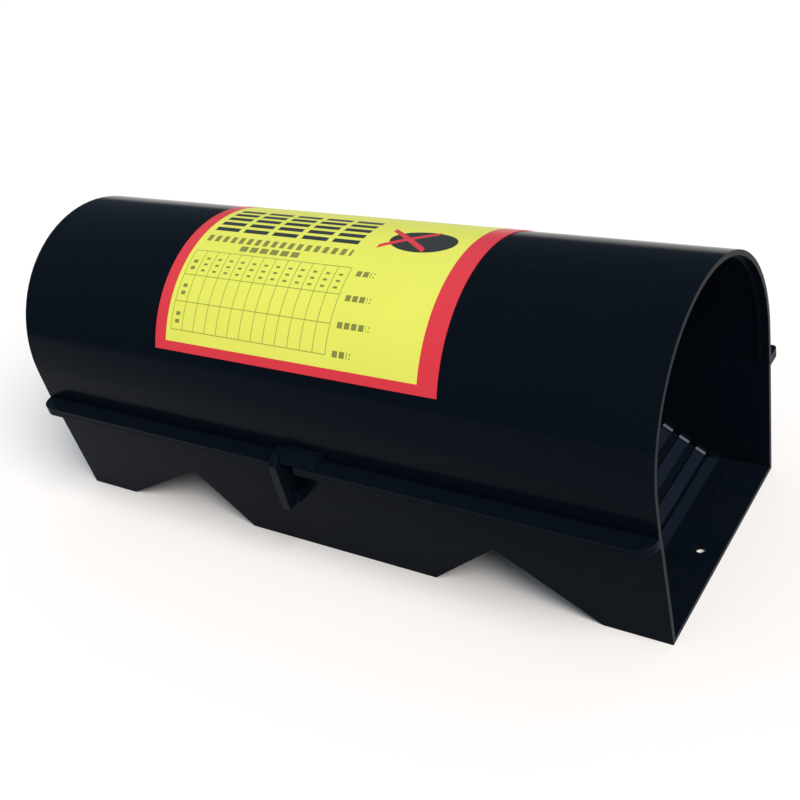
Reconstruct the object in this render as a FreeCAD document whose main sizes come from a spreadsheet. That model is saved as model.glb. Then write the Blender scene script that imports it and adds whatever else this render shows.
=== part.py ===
import FreeCAD, Part
import math
import os
import Sketcher

# Rodent bait station: a tunnel of two glossy black mouldings. The base is an open trough on a folded
# floor, with a ramp at each entrance and a bait well in the middle. The cover is a round arch. They meet
# at a pair of flanges, are hinged along the back (+Y) and are held at the front (-Y) by a pivoting latch.
# +X runs along the tunnel, +Z is up, and the origin is the middle of the bait well's underside.

DIMENSIONS = (
    # the tunnel
    ("tunnel_length", 310.0),
    ("wall", 2.0),
    ("seam_height", 52.8),
    ("seam_gap", 0.2),
    ("base_half_top", 55.5),
    ("base_half_foot", 53.4),
    ("arch_radius", 56.0),
    ("spring_height", 69.2),
    ("bead_rise", 0.8),
    ("bead_width", 1.2),
    ("bead_place", 151.0),
    # the flanges that meet at the seam
    ("flange_half", 63.7),
    ("flange_thick", 1.9),
    ("flange_corner", 7.8),
    ("flange_corner_back", 2.0),
    # the folded floor, as distances from the middle of the bait well
    ("left_foot", 126.4),
    ("left_peak", 73.2),
    ("left_well", 47.8),
    ("right_well", 51.7),
    ("right_peak", 84.8),
    ("right_foot", 127.0),
    ("peak_height", 27.4),
    ("floor_half", 53.0),
    # the grip ridges on the ramps
    ("ridge_half", 52.4),
    ("ridge_root", 0.5),
    ("ridge_rise", 1.2),
    ("ridge_pitch", 7.1),
    ("ridge_foot", 5.6),
    ("ridge_crown", 4.8),
    ("sill_place", 140.0),
    ("sill_width", 1.6),
    # the fixing holes in the entrance floors
    ("fixing_place", 146.5),
    ("fixing_offset", 4.5),
    ("fixing_radius", 2.0),
    # the hinge
    ("hinge_back", 67.8),
    ("hinge_place", 95.0),
    ("knuckle_radius", 3.6),
    ("knuckle_inner", 7.0),
    ("knuckle_outer", 15.0),
    ("knuckle_gap", 0.35),
    ("pin_radius", 1.5),
    ("pin_head_radius", 2.7),
    ("pin_head", 1.2),
    ("running_gap", 0.05),
    ("web_gap", 0.1),
    # the latch
    ("pivot_front", 59.8),
    ("pivot_height", 35.0),
    ("lever_left", 10.4),
    ("lever_right", 6.4),
    ("lever_front", 65.5),
    ("lever_back", 56.6),
    ("lever_foot", 31.0),
    ("lever_top", 58.0),
    ("lever_slope", 4.0),
    ("slot_margin", 0.5),
    ("slot_right", 1.5),
    ("slot_depth", 56.1),
    ("lug_thick", 2.4),
    ("lug_gap", 0.4),
    ("lug_radius", 2.6),
    # the wedge on the cover's flange that the lever stands beside
    ("strike_left", 5.9),
    ("strike_right", 12.5),
    ("strike_front", 63.2),
    ("strike_slope", 3.4),
    ("strike_height", 4.0),
    # the service label
    ("label_left", 69.7),
    ("label_right", 71.8),
    ("label_low_angle", 154.7),
    ("label_high_angle", 54.7),
    ("label_thick", 0.25),
    # the bait blocks
    ("block_width", 24.0),
    ("block_depth", 36.0),
    ("block_height", 20.0),
    ("block_bore", 3.5),
    ("block_chamfer", 1.5),
    ("block_middle", 2.0),
    ("block_step_along", 30.0),
    ("block_step_across", 42.0),
)

BASE_RIM = "(dims.seam_height - dims.seam_gap / 2)"
COVER_RIM = "(dims.seam_height + dims.seam_gap / 2)"
OVERCUT = 5.0
SPAN_SIDES = (-1, 1)


doc = FreeCAD.newDocument("bait_station")
dims = doc.addObject("Spreadsheet::Sheet", "dims")
for row, (alias, size) in enumerate(DIMENSIONS, start=1):
    dims.set("A%d" % row, str(size))
    dims.setAlias("A%d" % row, alias)
doc.recompute()


def new_body(label):
    """Start a sub-part: its Label is the name of its file."""
    body = doc.addObject("PartDesign::Body", label)
    body.Label = label
    return body


def new_sketch(body, name, role, offset=("0", "0", "0")):
    """Attach a sketch to one of the body's own origin planes, shifted in the plane's own axes."""
    sketch = body.newObject("Sketcher::SketchObject", name)
    plane = next(item for item in body.Origin.OriginFeatures if item.Role == role)
    sketch.AttachmentSupport = [(plane, "")]
    sketch.MapMode = "FlatFace"
    for axis, shift in zip("xyz", offset):
        if shift != "0":
            sketch.setExpression("AttachmentOffset.Base.%s" % axis, shift)
    return sketch


def value(expression):
    """Read an expression on the sheet as a number."""
    return float(dims.evalExpression(expression))


def hold(sketch, kind, geometry, end, expression):
    """Hold one end of a line or arc at a distance from the sketch's origin."""
    constraint = Sketcher.Constraint(kind, -1, 1, geometry, end, value(expression))
    number = sketch.addConstraint(constraint)
    sketch.setExpression("Constraints[%d]" % number, expression)


def hold_point(sketch, geometry, end, place):
    """Hold one end of a line or arc at a point given as two expressions."""
    hold(sketch, "DistanceX", geometry, end, place[0])
    hold(sketch, "DistanceY", geometry, end, place[1])


def join_ends(sketch, chain):
    """Close a chain of lines and arcs, each end on the next start."""
    for piece, following in zip(chain, chain[1:] + chain[:1]):
        sketch.addConstraint(Sketcher.Constraint("Coincident", piece, 2, following, 1))


def outline(sketch, corners):
    """Draw a closed outline of straight sides through corners, each a pair of expressions."""
    places = [FreeCAD.Vector(value(across), value(up), 0) for across, up in corners]
    sides = [Part.LineSegment(a, b) for a, b in zip(places, places[1:] + places[:1])]
    chain = [sketch.addGeometry(side) for side in sides]
    join_ends(sketch, chain)
    for side, corner in zip(chain, corners):
        hold_point(sketch, side, 1, corner)


def rectangle(sketch, low, high):
    """Draw a rectangle between two opposite corners."""
    outline(sketch, (low, (high[0], low[1]), high, (low[0], high[1])))


def circle(sketch, centre, radius):
    """Draw a circle about a point given as two expressions."""
    middle = FreeCAD.Vector(value(centre[0]), value(centre[1]), 0)
    ring = sketch.addGeometry(Part.Circle(middle, FreeCAD.Vector(0, 0, 1), value(radius)))
    hold_point(sketch, ring, 3, centre)
    number = sketch.addConstraint(Sketcher.Constraint("Radius", ring, value(radius)))
    sketch.setExpression("Constraints[%d]" % number, radius)


def arch_outline(sketch, radius, foot):
    """Draw the closed arch: a level foot, two uprights and a half circle about the spring line."""
    reach = value(radius)
    low = value(foot)
    spring = value("dims.spring_height")
    top = Part.Circle(FreeCAD.Vector(0, spring, 0), FreeCAD.Vector(0, 0, 1), reach)
    sill = Part.LineSegment(FreeCAD.Vector(-reach, low, 0), FreeCAD.Vector(reach, low, 0))
    back = Part.LineSegment(FreeCAD.Vector(reach, low, 0), FreeCAD.Vector(reach, spring, 0))
    front = Part.LineSegment(FreeCAD.Vector(-reach, spring, 0), FreeCAD.Vector(-reach, low, 0))
    pieces = (sill, back, Part.ArcOfCircle(top, 0, math.pi), front)
    chain = [sketch.addGeometry(piece) for piece in pieces]
    join_ends(sketch, chain)
    hold_point(sketch, chain[0], 1, ("-%s" % radius, foot))
    hold_point(sketch, chain[1], 1, (radius, foot))
    hold_point(sketch, chain[2], 1, (radius, "dims.spring_height"))
    hold_point(sketch, chain[2], 3, ("0", "dims.spring_height"))
    hold(sketch, "DistanceY", chain[3], 1, "dims.spring_height")


def add_pad(body, sketch, length, both_ways=False):
    """Extrude a sketch along its normal, or half the length each way."""
    pad = body.newObject("PartDesign::Pad", sketch.Name + "_pad")
    pad.Profile = sketch
    pad.SideType = "Symmetric" if both_ways else "One side"
    pad.setExpression("Length", length)
    doc.recompute()
    return pad


def add_pocket(body, sketch, length=None, both_ways=False):
    """Cut a sketch against its normal, half each way, or right through; it must remove something."""
    before = body.Shape.Volume
    pocket = body.newObject("PartDesign::Pocket", sketch.Name + "_pocket")
    pocket.Profile = sketch
    pocket.SideType = "Symmetric" if both_ways else "One side"
    if length is None:
        pocket.Type = "ThroughAll"
    else:
        pocket.setExpression("Length", length)
    doc.recompute()
    if not body.Shape.Volume < before:
        raise RuntimeError("%s cuts nothing" % pocket.Name)
    return pocket


def turn_about_x(body, name, kind, axis, outlines):
    """Turn outlines, drawn beside an axis along X, into rings or bores: kind is Revolution or Groove."""
    sketch = new_sketch(body, name, "XY_Plane", ("0", axis[0], axis[1]))
    for corners in outlines:
        outline(sketch, corners)
    turned = body.newObject("PartDesign::" + kind, name + "_turned")
    turned.Profile = sketch
    turned.ReferenceAxis = (sketch, ["H_Axis"])
    turned.Angle = 360
    doc.recompute()
    return turned


def ring_outline(start, end, radius):
    """The half section of a solid cylinder between two places along the axis."""
    return ((start, "0"), (end, "0"), (end, radius), (start, radius))


def add_barrels(body, name, spans, axis, radius, root, low, high):
    """Webs that reach from a wall to an axis along X, with a round barrel at the end of each."""
    webs = new_sketch(body, name + "_webs", "XY_Plane", ("0", "0", low))
    for start, end in spans:
        rectangle(webs, (start, root), (end, axis[0]))
    add_pad(body, webs, "(%s) - (%s)" % (high, low))
    outlines = [ring_outline(start, end, radius) for start, end in spans]
    turn_about_x(body, name, "Revolution", axis, outlines)


def dress_up(body, name, kind, edges, size_name, size):
    """Round or bevel edges of the solid made so far: kind is Fillet or Chamfer."""
    solid = body.Tip
    feature = body.newObject("PartDesign::" + kind, name)
    feature.Base = (solid, edges)
    feature.setExpression(size_name, size)
    doc.recompute()
    return feature


def flange_corners(body, rim, side):
    """The two upright edges at the plan corners of a flange, at the front or at the back."""
    corners = []
    for number, edge in enumerate(body.Shape.Edges, start=1):
        middle = edge.CenterOfMass
        upright = edge.BoundBox.XLength + edge.BoundBox.YLength < value("dims.seam_gap")
        at_end = abs(abs(middle.x) - value("dims.tunnel_length / 2")) < value("dims.seam_gap")
        at_edge = abs(side * middle.y - value("dims.flange_half")) < value("dims.seam_gap")
        if upright and at_end and at_edge and abs(middle.z - rim) < value("dims.flange_thick"):
            corners.append("Edge%d" % number)
    if len(corners) != len(SPAN_SIDES):
        raise RuntimeError("%s has %d flange corners at side %d" % (body.Name, len(corners), side))
    return corners


def round_flange_corners(body, rim, name):
    """Round the front corners of a flange widely, and only ease those at the back."""
    front = flange_corners(body, rim, -1)
    dress_up(body, name + "_front", "Fillet", front, "Radius", "dims.flange_corner")
    back = flange_corners(body, rim, 1)
    dress_up(body, name + "_back", "Fillet", back, "Radius", "dims.flange_corner_back")


def cut_latch_slot(body, name, top):
    """Cut the slot, open to the front, that the latch's lever passes through in a flange."""
    sketch = new_sketch(body, name, "XY_Plane", ("0", "0", top))
    left = "-dims.lever_left - dims.slot_margin"
    front = "-dims.flange_half - %g" % OVERCUT
    rectangle(sketch, (left, front), ("dims.slot_right", "-dims.slot_depth"))
    add_pocket(body, sketch, "dims.flange_thick + dims.seam_gap")


def knuckle_spans(inner, outer):
    """The places along the hinge of one pair of knuckles at each of the two hinges."""
    spans = []
    for side in SPAN_SIDES:
        for hand in SPAN_SIDES:
            near = "%d * dims.hinge_place + %d * %s" % (side, hand, inner)
            far = "%d * dims.hinge_place + %d * %s" % (side, hand, outer)
            spans.append((near, far) if hand > 0 else (far, near))
    return spans


def floor_folds():
    """The underside of the folded floor from the left end to the right, as corners."""
    return (
        ("-dims.tunnel_length / 2", "0"),
        ("-dims.left_foot", "0"),
        ("-dims.left_peak", "dims.peak_height"),
        ("-dims.left_well", "0"),
        ("dims.right_well", "0"),
        ("dims.right_peak", "dims.peak_height"),
        ("dims.right_foot", "0"),
        ("dims.tunnel_length / 2", "0"),
    )


def make_base_walls(body):
    """The folded floor, the two drafted walls with their flanges, and the gaps under the two peaks."""
    floor = new_sketch(body, "floor", "XZ_Plane")
    under = floor_folds()
    over = tuple((along, up + " + dims.wall") for along, up in reversed(under))
    outline(floor, under + over)
    add_pad(body, floor, "2 * dims.floor_half", both_ways=True)
    walls = new_sketch(body, "walls", "YZ_Plane")
    for side in ("-", ""):
        outline(walls, (
            (side + "dims.base_half_foot", "0"),
            (side + "dims.base_half_top", BASE_RIM + " - dims.flange_thick"),
            (side + "dims.flange_half", BASE_RIM + " - dims.flange_thick"),
            (side + "dims.flange_half", BASE_RIM),
            (side + "(dims.base_half_top - dims.wall)", BASE_RIM),
            (side + "(dims.base_half_foot - dims.wall)", "0"),
        ))
    add_pad(body, walls, "dims.tunnel_length", both_ways=True)
    gaps = new_sketch(body, "gaps", "XZ_Plane")
    outline(gaps, under[1:4])
    outline(gaps, under[4:7])
    add_pocket(body, gaps, both_ways=True)


def ridge_corners(side, foot, peak, step):
    """One grip ridge on a ramp: a low bar with sloping sides, square to the ramp."""
    run = "(%s - %s)" % (foot, peak)
    slope = "atan(dims.peak_height / %s)" % run
    start = "%d * dims.ridge_pitch" % step
    margin = "(dims.ridge_foot - dims.ridge_crown) / 2"
    places = (
        (start, "-dims.ridge_root"),
        ("(%s + dims.ridge_foot * cos(%s))" % (start, slope), "-dims.ridge_root"),
        ("(%s + (dims.ridge_foot - %s) * cos(%s))" % (start, margin, slope), "dims.ridge_rise"),
        ("(%s + %s * cos(%s))" % (start, margin, slope), "dims.ridge_rise"),
    )
    corners = []
    for along, lift in places:
        across = "%s(%s - (%s) + (%s) * sin(%s))" % (side, foot, along, lift, slope)
        up = "dims.wall + (%s) * tan(%s) + (%s) * cos(%s)" % (along, slope, lift, slope)
        corners.append((across, up))
    return corners


def level_ridge_corners(side, foot):
    """The grip ridge on the level floor before a ramp."""
    far = "%s + dims.ridge_pitch" % foot
    near = "%s - dims.ridge_foot" % far
    margin = "(dims.ridge_foot - dims.ridge_crown) / 2"
    places = (
        (near, "-dims.ridge_root"),
        (far, "-dims.ridge_root"),
        ("%s - %s" % (far, margin), "dims.ridge_rise"),
        ("%s + %s" % (near, margin), "dims.ridge_rise"),
    )
    return [("%s(%s)" % (side, out), "dims.wall + (%s)" % lift) for out, lift in places]


def make_ramps(body):
    """The grip ridges up both entrance ramps, one on the floor before each, and the low sills."""
    ridges = new_sketch(body, "ridges", "XZ_Plane")
    for side, foot, peak in (("-", "dims.left_foot", "dims.left_peak"),
                             ("", "dims.right_foot", "dims.right_peak")):
        count = int(value("(%s - %s) / dims.ridge_pitch" % (foot, peak)))
        for step in range(count):
            outline(ridges, ridge_corners(side, foot, peak, step))
        outline(ridges, level_ridge_corners(side, foot))
        sill_low = (side + "(dims.sill_place - dims.sill_width / 2)", "dims.wall / 2")
        sill_high = (side + "(dims.sill_place + dims.sill_width / 2)", "dims.wall + dims.ridge_rise / 2")
        rectangle(ridges, sill_low, sill_high)
    add_pad(body, ridges, "2 * dims.ridge_half", both_ways=True)


def make_base_shell():
    """The lower moulding, with its knuckles for the hinges and its lugs for the latch."""
    body = new_body("base_shell")
    make_base_walls(body)
    make_ramps(body)
    round_flange_corners(body, value(BASE_RIM), "base_flange_corners")
    cut_latch_slot(body, "base_latch_slot", BASE_RIM)
    fixings = new_sketch(body, "fixings", "XY_Plane")
    for side in ("-", ""):
        circle(fixings, (side + "dims.fixing_place", "-dims.fixing_offset"), "dims.fixing_radius")
    add_pocket(body, fixings, both_ways=True)

    hinge = ("dims.hinge_back", "dims.seam_height")
    spans = knuckle_spans("dims.knuckle_inner", "dims.knuckle_outer")
    web_top = BASE_RIM + " - dims.web_gap"
    web_foot = BASE_RIM + " - dims.flange_thick"
    add_barrels(body, "base_knuckles", spans, hinge, "dims.knuckle_radius",
                "dims.flange_half - dims.wall", web_foot, web_top)
    bores = [ring_outline(start, end, "dims.pin_radius") for start, end in spans]
    turn_about_x(body, "base_knuckle_bores", "Groove", hinge, bores)

    pivot = ("-dims.pivot_front", "dims.pivot_height")
    lug_right = "-dims.lever_right + dims.lug_gap"
    lug_left = "-dims.lever_left - dims.lug_gap"
    lugs = ((lug_left + " - dims.lug_thick", lug_left), (lug_right, lug_right + " + dims.lug_thick"))
    add_barrels(body, "latch_lugs", lugs, pivot, "dims.lug_radius", "-dims.base_half_foot",
                "dims.pivot_height - dims.lug_radius", "dims.pivot_height + dims.lug_radius")
    bores = [ring_outline(start, end, "dims.pin_radius + dims.running_gap") for start, end in lugs]
    turn_about_x(body, "latch_lug_bores", "Groove", pivot, bores)
    return body


def make_arch(body):
    """The arch with its flanges, hollowed out but for a thin bead just inside each end."""
    arch = new_sketch(body, "arch", "YZ_Plane")
    arch_outline(arch, "dims.arch_radius", COVER_RIM)
    add_pad(body, arch, "dims.tunnel_length", both_ways=True)
    flanges = new_sketch(body, "flanges", "YZ_Plane")
    for side in ("-", ""):
        low = (side + "(dims.arch_radius - dims.wall)", COVER_RIM)
        rectangle(flanges, low, (side + "dims.flange_half", COVER_RIM + " + dims.flange_thick"))
    add_pad(body, flanges, "dims.tunnel_length", both_ways=True)

    inside = "(dims.arch_radius - dims.wall)"
    foot = "%s - %g" % (COVER_RIM, OVERCUT)
    bore = new_sketch(body, "bead_bore", "YZ_Plane")
    arch_outline(bore, "(%s - dims.bead_rise)" % inside, foot)
    add_pocket(body, bore, both_ways=True)
    middle = new_sketch(body, "middle_bore", "YZ_Plane")
    arch_outline(middle, inside, foot)
    add_pocket(body, middle, "2 * dims.bead_place - dims.bead_width", both_ways=True)
    bead_outer = "(dims.bead_place + dims.bead_width / 2)"
    for name, plane in (("left_end_bore", "-" + bead_outer), ("right_end_bore", "dims.tunnel_length / 2")):
        end = new_sketch(body, name, "YZ_Plane", ("0", "0", plane))
        arch_outline(end, inside, foot)
        add_pocket(body, end, "dims.tunnel_length / 2 - " + bead_outer)


def make_strike(body):
    """The wedge on the front flange, over the slot, that the latch's lever stands beside."""
    wedge = new_sketch(body, "strike", "YZ_Plane", ("0", "0", "-dims.strike_left"))
    bottom = COVER_RIM + " + dims.flange_thick"
    top = bottom + " + dims.strike_height"
    outline(wedge, (
        ("-dims.strike_front", bottom),
        ("-dims.arch_radius + dims.wall / 2", bottom),
        ("-dims.arch_radius + dims.wall / 2", top),
        ("-dims.strike_front + dims.strike_slope", top),
    ))
    add_pad(body, wedge, "dims.strike_left + dims.strike_right")


def make_arch_cover():
    """The upper moulding, with the middle knuckle of each hinge."""
    body = new_body("arch_cover")
    make_arch(body)
    round_flange_corners(body, value(COVER_RIM), "cover_flange_corners")
    cut_latch_slot(body, "cover_latch_slot", COVER_RIM + " + dims.flange_thick")
    make_strike(body)
    hinge = ("dims.hinge_back", "dims.seam_height")
    reach = "(dims.knuckle_inner - dims.knuckle_gap)"
    spans = []
    for side in SPAN_SIDES:
        middle = "%d * dims.hinge_place" % side
        spans.append(("%s - %s" % (middle, reach), "%s + %s" % (middle, reach)))
    add_barrels(body, "cover_knuckles", spans, hinge, "dims.knuckle_radius",
                "dims.flange_half - dims.wall", COVER_RIM + " + dims.web_gap",
                COVER_RIM + " + dims.flange_thick")
    bores = [ring_outline(start, end, "dims.pin_radius + dims.running_gap") for start, end in spans]
    turn_about_x(body, "cover_knuckle_bores", "Groove", hinge, bores)
    return body


def make_hinge_pin(name, side):
    """A headed pin, pressed into the base's knuckles, with its head towards the end of the tunnel."""
    body = new_body(name)
    tail = "%s(dims.knuckle_outer + dims.pin_head)" % ("-" if side > 0 else "")
    seat = "%d * dims.knuckle_outer" % side
    end = "%d * (dims.knuckle_outer + dims.pin_head)" % side
    corners = (
        (tail, "0"),
        (tail, "dims.pin_radius"),
        (seat, "dims.pin_radius"),
        (seat, "dims.pin_head_radius"),
        (end, "dims.pin_head_radius"),
        (end, "0"),
    )
    turn_about_x(body, name + "_profile", "Revolution", ("0", "0"), (corners,))
    body.setExpression("Placement.Base.x", "%d * dims.hinge_place" % side)
    body.setExpression("Placement.Base.y", "dims.hinge_back")
    body.setExpression("Placement.Base.z", "dims.seam_height")
    return body


def make_front_latch():
    """The latch: an upright lever on trunnions that passes through the slots in both flanges."""
    body = new_body("front_latch")
    lever = new_sketch(body, "lever", "YZ_Plane", ("0", "0", "-dims.lever_left"))
    outline(lever, (
        ("-dims.lever_front", "dims.lever_foot"),
        ("-dims.lever_back", "dims.lever_foot"),
        ("-dims.lever_back", "dims.lever_top"),
        ("-dims.lever_front + dims.lever_slope", "dims.lever_top"),
        ("-dims.lever_front", "dims.lever_top - dims.lever_slope"),
    ))
    add_pad(body, lever, "dims.lever_left - dims.lever_right")
    pivot = ("-dims.pivot_front", "dims.pivot_height")
    reach = "(dims.lug_gap + dims.lug_thick)"
    trunnion = ring_outline("-dims.lever_left - " + reach, "-dims.lever_right + " + reach,
                            "dims.pin_radius")
    turn_about_x(body, "trunnions", "Revolution", pivot, (trunnion,))
    return body


def make_service_label():
    """The adhesive label, a thin skin on the front and top of the arch."""
    body = new_body("service_label")
    sketch = new_sketch(body, "label_section", "YZ_Plane", ("0", "0", "-dims.label_left"))
    spring = "dims.spring_height"
    radii = ("dims.arch_radius", "(dims.arch_radius + dims.label_thick)")
    angles = ("dims.label_high_angle", "dims.label_low_angle")
    arcs = []
    for radius in radii:
        ring = Part.Circle(FreeCAD.Vector(0, value(spring), 0), FreeCAD.Vector(0, 0, 1), value(radius))
        start, end = (math.radians(value(angle)) for angle in angles)
        arcs.append(sketch.addGeometry(Part.ArcOfCircle(ring, start, end)))
    for end in (1, 2):
        places = [sketch.getPoint(arc, end) for arc in arcs]
        side = sketch.addGeometry(Part.LineSegment(*places))
        for own_end, arc in ((1, arcs[0]), (2, arcs[1])):
            sketch.addConstraint(Sketcher.Constraint("Coincident", side, own_end, arc, end))
    for arc, radius in zip(arcs, radii):
        hold_point(sketch, arc, 3, ("0", spring))
        hold_point(sketch, arc, 1, ("%s * cos(%s)" % (radius, angles[0]),
                                    "%s + %s * sin(%s)" % (spring, radius, angles[0])))
        hold(sketch, "DistanceX", arc, 2, "%s * cos(%s)" % (radius, angles[1]))
    add_pad(body, sketch, "dims.label_left + dims.label_right")
    return body


def make_bait_block(name, along, across):
    """A wax bait block with a bore through it, standing on the floor of the well."""
    body = new_body(name)
    section = new_sketch(body, name + "_section", "XY_Plane")
    half_width = "dims.block_width / 2"
    half_depth = "dims.block_depth / 2"
    rectangle(section, ("-" + half_width, "-" + half_depth), (half_width, half_depth))
    circle(section, ("0", "0"), "dims.block_bore")
    add_pad(body, section, "dims.block_height")
    top = value("dims.block_height")
    rim = [
        "Edge%d" % number
        for number, edge in enumerate(body.Shape.Edges, start=1)
        if edge.BoundBox.ZMin > top / 2 and not isinstance(edge.Curve, Part.Circle)
    ]
    dress_up(body, name + "_chamfer", "Chamfer", rim, "Size", "dims.block_chamfer")
    place = "dims.block_middle + %g * dims.block_step_along" % along
    body.setExpression("Placement.Base.x", place)
    body.setExpression("Placement.Base.y", "%g * dims.block_step_across" % across)
    body.setExpression("Placement.Base.z", "dims.wall")
    return body


parts = [make_base_shell(), make_arch_cover(), make_service_label(), make_front_latch()]
parts.append(make_hinge_pin("hinge_pin_left", -1))
parts.append(make_hinge_pin("hinge_pin_right", 1))
block_places = [(along, across) for along in (-0.5, 0.5) for across in (-0.5, 0.5)]
for number, (along, across) in enumerate(block_places, start=1):
    parts.append(make_bait_block("bait_block_%d" % number, along, across))
doc.recompute()

for item in doc.Objects:
    if "Invalid" in item.State or "Error" in item.State:
        raise RuntimeError("%s did not recompute: %s" % (item.Name, item.State))
os.makedirs("parts", exist_ok=True)
for part in parts:
    if part.Shape.isNull() or not part.Shape.isValid() or len(part.Shape.Solids) != 1:
        raise RuntimeError("%s is not one valid solid" % part.Label)
    part.Shape.exportStep("parts/%s.step" % part.Label)
    box = part.Shape.BoundBox
    print("%-16s %9.1f mm3  x %7.1f %7.1f  y %6.1f %6.1f  z %6.1f %6.1f" % (
        part.Label, part.Shape.Volume, box.XMin, box.XMax, box.YMin, box.YMax, box.ZMin, box.ZMax))
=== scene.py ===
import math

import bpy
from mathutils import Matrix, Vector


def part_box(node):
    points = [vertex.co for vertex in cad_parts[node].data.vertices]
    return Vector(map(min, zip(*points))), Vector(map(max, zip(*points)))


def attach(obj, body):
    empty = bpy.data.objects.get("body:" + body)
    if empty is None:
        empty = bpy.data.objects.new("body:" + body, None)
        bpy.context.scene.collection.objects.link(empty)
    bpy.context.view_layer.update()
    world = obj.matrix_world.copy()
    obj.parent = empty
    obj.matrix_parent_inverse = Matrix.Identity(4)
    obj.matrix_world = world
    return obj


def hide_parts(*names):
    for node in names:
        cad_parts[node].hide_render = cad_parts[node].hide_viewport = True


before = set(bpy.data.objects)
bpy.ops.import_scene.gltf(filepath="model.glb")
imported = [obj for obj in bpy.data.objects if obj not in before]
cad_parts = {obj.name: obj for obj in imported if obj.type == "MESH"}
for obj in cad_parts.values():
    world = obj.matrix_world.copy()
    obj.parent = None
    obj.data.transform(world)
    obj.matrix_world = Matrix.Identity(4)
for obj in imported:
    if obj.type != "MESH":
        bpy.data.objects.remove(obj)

# %% [markdown]
# # A tunnel bait station
# The station is two glossy black mouldings: a trough on a folded floor, and an arched cover hinged
# along its back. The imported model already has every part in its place, so this lesson adds what a
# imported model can't show: softened moulding edges, a printed label, wax with a pressed skin, and
# surfaces that look handled. All lengths are in metres, so small sizes are written as multiples of MM.
# Whatever a new Blender scene starts with is removed first, so that it doesn't count as part of the model.

MM = 0.001
for startup_name in ("Cube", "Camera", "Light"):
    if startup_name in bpy.data.objects:
        bpy.data.objects.remove(bpy.data.objects[startup_name])
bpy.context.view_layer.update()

# %% [markdown]
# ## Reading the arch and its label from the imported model
# The cover is a half circle on two uprights. The arch's outer radius is a stated size, and its top stands
# one radius over the spring line, where the uprights end, so the spring line comes from the cover's box.
# The label runs over the top of the arch, so its box gives the film's thickness and the two angles round
# the arch where the film ends. Angles are counted from the back, so its top edge has the smaller one.

# %% The arch's radius and spring line, and where the label lies
cover_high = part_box("arch_cover")[1]
label_low, label_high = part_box("service_label")
ARCH_RADIUS = 56 * MM
SPRING_HEIGHT = cover_high[2] - ARCH_RADIUS
LABEL_THICK = label_high[2] - cover_high[2]
LABEL_LENGTH = label_high[0] - label_low[0]
FILM_RADIUS = ARCH_RADIUS + LABEL_THICK
LABEL_TOP = math.acos(label_high[1] / FILM_RADIUS)
LABEL_FOOT = math.acos(label_low[1] / FILM_RADIUS)
print("spring line", round(SPRING_HEIGHT, 4), "label from", round(math.degrees(LABEL_TOP), 1),
      "to", round(math.degrees(LABEL_FOOT), 1), "degrees")

# %% [markdown]
# ## Small helpers for node trees
# A material is a graph of nodes. Adding a node, setting its values and linking its inputs are the same
# three steps each time, so one helper does them. A number is written into a socket, and a socket given
# in place of a number is linked. The nodes used most often then get a short helper each.

# %% A node with its values and links in one call
def add_node(tree, kind, inputs=None, **settings):
    node = tree.nodes.new(kind)
    for name, setting in settings.items():
        setattr(node, name, setting)
    for socket, source in (inputs or {}).items():
        if isinstance(source, bpy.types.NodeSocket):
            tree.links.new(source, node.inputs[socket])
        else:
            node.inputs[socket].default_value = source
    return node


print("one helper adds, sets and links a node")


# %% Short names for the nodes used most
def math_node(tree, operation, first, second=0.0, third=0.0, clamp=False):
    inputs = {0: first, 1: second, 2: third}
    return add_node(tree, "ShaderNodeMath", inputs, operation=operation, use_clamp=clamp).outputs[0]


def mix_colour(tree, factor, first, second):
    inputs = {0: factor, 6: first, 7: second}
    return add_node(tree, "ShaderNodeMix", inputs, data_type="RGBA").outputs[2]


def noise(tree, coordinates, scale, detail):
    inputs = {"Vector": coordinates, "Scale": scale, "Detail": detail}
    return add_node(tree, "ShaderNodeTexNoise", inputs).outputs["Fac"]


def stretched(tree, coordinates, scale, turn=(0.0, 0.0, 0.0)):
    inputs = {"Vector": coordinates, "Rotation": turn, "Scale": scale}
    return add_node(tree, "ShaderNodeMapping", inputs).outputs[0]


def fade_between(tree, value, start, end):
    inputs = {"Value": value, "From Min": start, "From Max": end}
    return add_node(tree, "ShaderNodeMapRange", inputs).outputs[0]


def split_axes(tree, vector):
    return add_node(tree, "ShaderNodeSeparateXYZ", {"Vector": vector}).outputs


print("helpers for sums, colour mixes, noise, stretching and fading")


# %% Node groups: made once, then placed in any material
def new_group(name, inputs, outputs):
    group = bpy.data.node_groups.new(name, "ShaderNodeTree")
    for socket_name, kind, default in inputs:
        socket = group.interface.new_socket(socket_name, in_out="INPUT", socket_type=kind)
        if default is not None:
            socket.default_value = default
    for socket_name, kind in outputs:
        group.interface.new_socket(socket_name, in_out="OUTPUT", socket_type=kind)
    entry = group.nodes.new("NodeGroupInput").outputs
    result = group.nodes.new("NodeGroupOutput").inputs
    return group, entry, result


def use_group(tree, group, inputs):
    return add_node(tree, "ShaderNodeGroup", inputs, node_tree=group).outputs


print("helpers for node groups")


# %% A material's start, and the three inputs that most finishes feed
def start_material(name):
    material = bpy.data.materials.new(name)
    material.use_nodes = True
    tree = material.node_tree
    surface = tree.nodes["Principled BSDF"]
    coordinates = add_node(tree, "ShaderNodeTexCoord").outputs["Object"]
    return material, tree, surface, coordinates


def paint(tree, surface, colour):
    tree.links.new(colour, surface.inputs["Base Color"])


def set_gloss(tree, surface, mask, swing, start, clamp=False):
    roughness = math_node(tree, "MULTIPLY_ADD", mask, swing, start, clamp=clamp)
    tree.links.new(roughness, surface.inputs["Roughness"])


def add_bump(tree, surface, height, strength, distance):
    inputs = {"Height": height, "Strength": strength, "Distance": distance}
    bump = add_node(tree, "ShaderNodeBump", inputs)
    tree.links.new(bump.outputs[0], surface.inputs["Normal"])


print("helpers for materials")

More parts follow.
